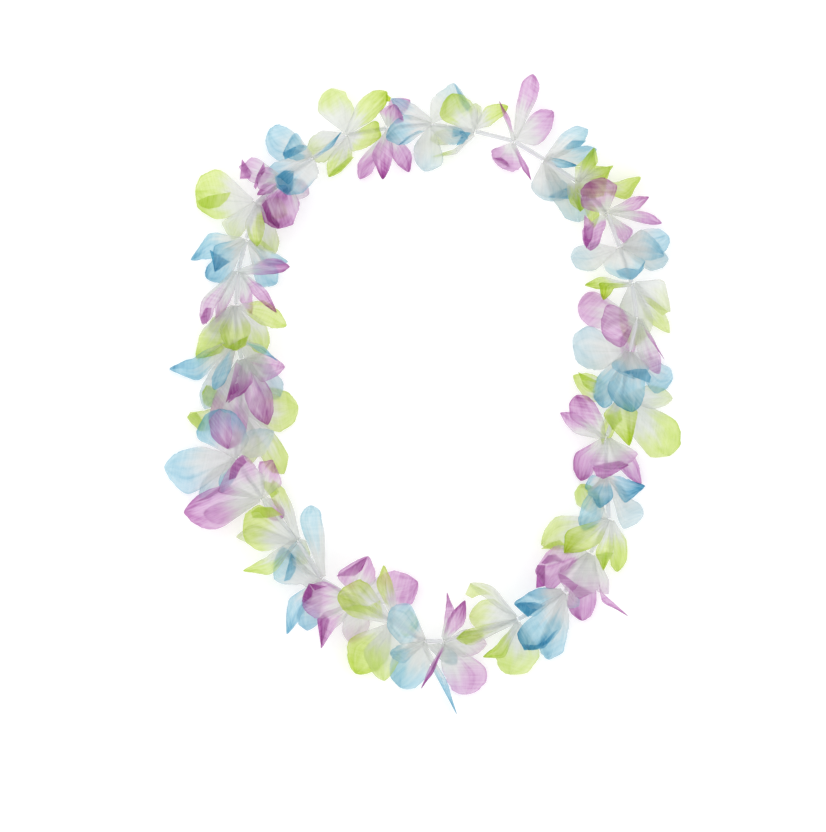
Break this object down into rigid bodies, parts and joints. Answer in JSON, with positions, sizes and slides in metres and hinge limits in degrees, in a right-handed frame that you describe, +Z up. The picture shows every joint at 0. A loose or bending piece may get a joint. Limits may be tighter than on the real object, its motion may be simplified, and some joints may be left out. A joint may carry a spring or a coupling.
{
  "type": "lei",
  "caption": "Garland of five-petalled fabric blooms in pastel blue, green and purple, threaded with straw spacers on a string and lying in an oval loop.",
  "frame": {"origin": "middle of the loop's outline, on the table that it lies on", "axes": "+Z up from the table, +Y along the loop's long way, towards the end that is at the top of the picture, +X to its right"},
  "size_m": [0.3666, 0.4554, 0.0463],
  "materials": {
    "purple_fabric": "sheer, dyed",
    "blue_fabric": "sheer, dyed",
    "green_fabric": "sheer, dyed",
    "straw_plastic": "thin, translucent"
  },
  "bodies": {
    "root": {"bloom_01_purple": "purple_fabric", "bloom_02_blue": "blue_fabric", "bloom_03_green": "green_fabric", "bloom_04_purple": "purple_fabric", "bloom_05_blue": "blue_fabric", "bloom_06_green": "green_fabric", "bloom_07_purple": "purple_fabric", "bloom_08_blue": "blue_fabric", "bloom_09_green": "green_fabric", "bloom_10_purple": "purple_fabric", "bloom_11_blue": "blue_fabric", "bloom_12_green": "green_fabric", "bloom_13_purple": "purple_fabric", "bloom_14_blue": "blue_fabric", "bloom_15_green": "green_fabric", "bloom_16_purple": "purple_fabric", "bloom_17_blue": "blue_fabric", "bloom_18_green": "green_fabric", "bloom_19_purple": "purple_fabric", "bloom_20_blue": "blue_fabric", "bloom_21_green": "green_fabric", "bloom_22_purple": "purple_fabric", "bloom_23_blue": "blue_fabric", "bloom_24_green": "green_fabric", "bloom_25_purple": "purple_fabric", "bloom_26_blue": "blue_fabric", "bloom_27_green": "green_fabric", "bloom_28_purple": "purple_fabric", "bloom_29_blue": "blue_fabric", "bloom_30_green": "green_fabric", "bloom_31_purple": "purple_fabric", "bloom_32_blue": "blue_fabric", "bloom_33_green": "green_fabric", "bloom_34_purple": "purple_fabric", "bloom_35_blue": "blue_fabric", "bloom_36_green": "green_fabric", "string_with_spacers": "straw_plastic"}
  },
  "joints": []
}
